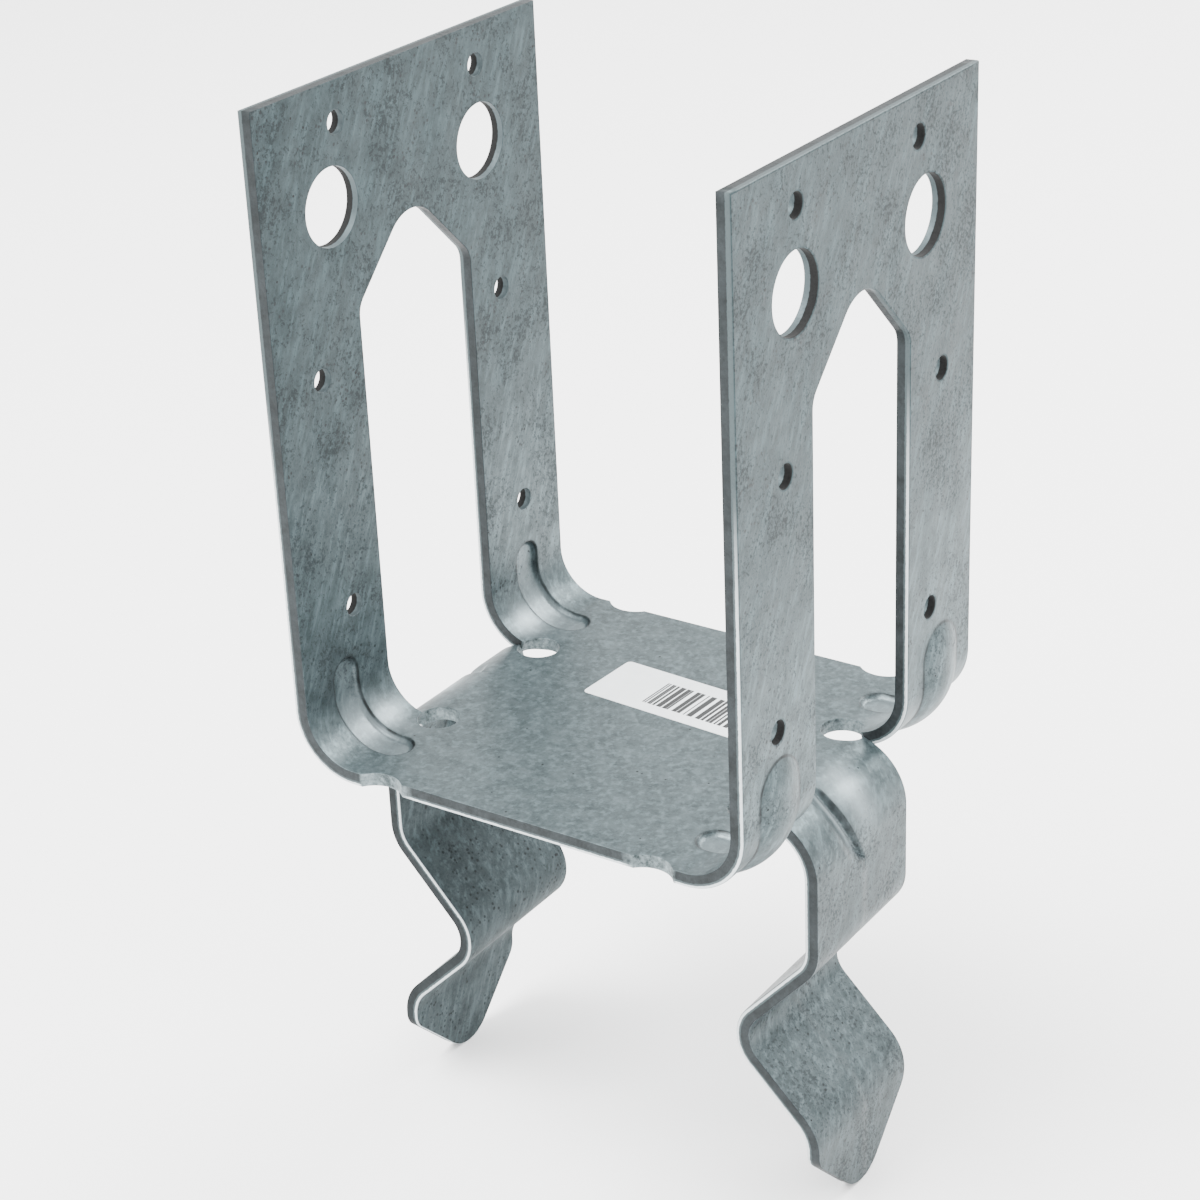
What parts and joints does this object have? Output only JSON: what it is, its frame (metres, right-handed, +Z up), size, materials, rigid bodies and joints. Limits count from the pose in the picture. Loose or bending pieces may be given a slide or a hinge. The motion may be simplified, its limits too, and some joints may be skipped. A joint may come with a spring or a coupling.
{
  "type": "post base",
  "caption": "Galvanised steel post base: a plate between two windowed uprights that take a timber post, with two waisted feet bent down to set in wet concrete.",
  "frame": {"origin": "middle of the base plate's top face, where the post stands", "axes": "+Z up along the uprights, X across from one upright to the other, Y along the uprights' width"},
  "size_m": [0.0992, 0.0826, 0.2093],
  "materials": {
    "galvanised_steel": "hot-dip galvanised, fine mottled spangle"
  },
  "bodies": {
    "root": {"post_base": "galvanised_steel"}
  },
  "joints": []
}
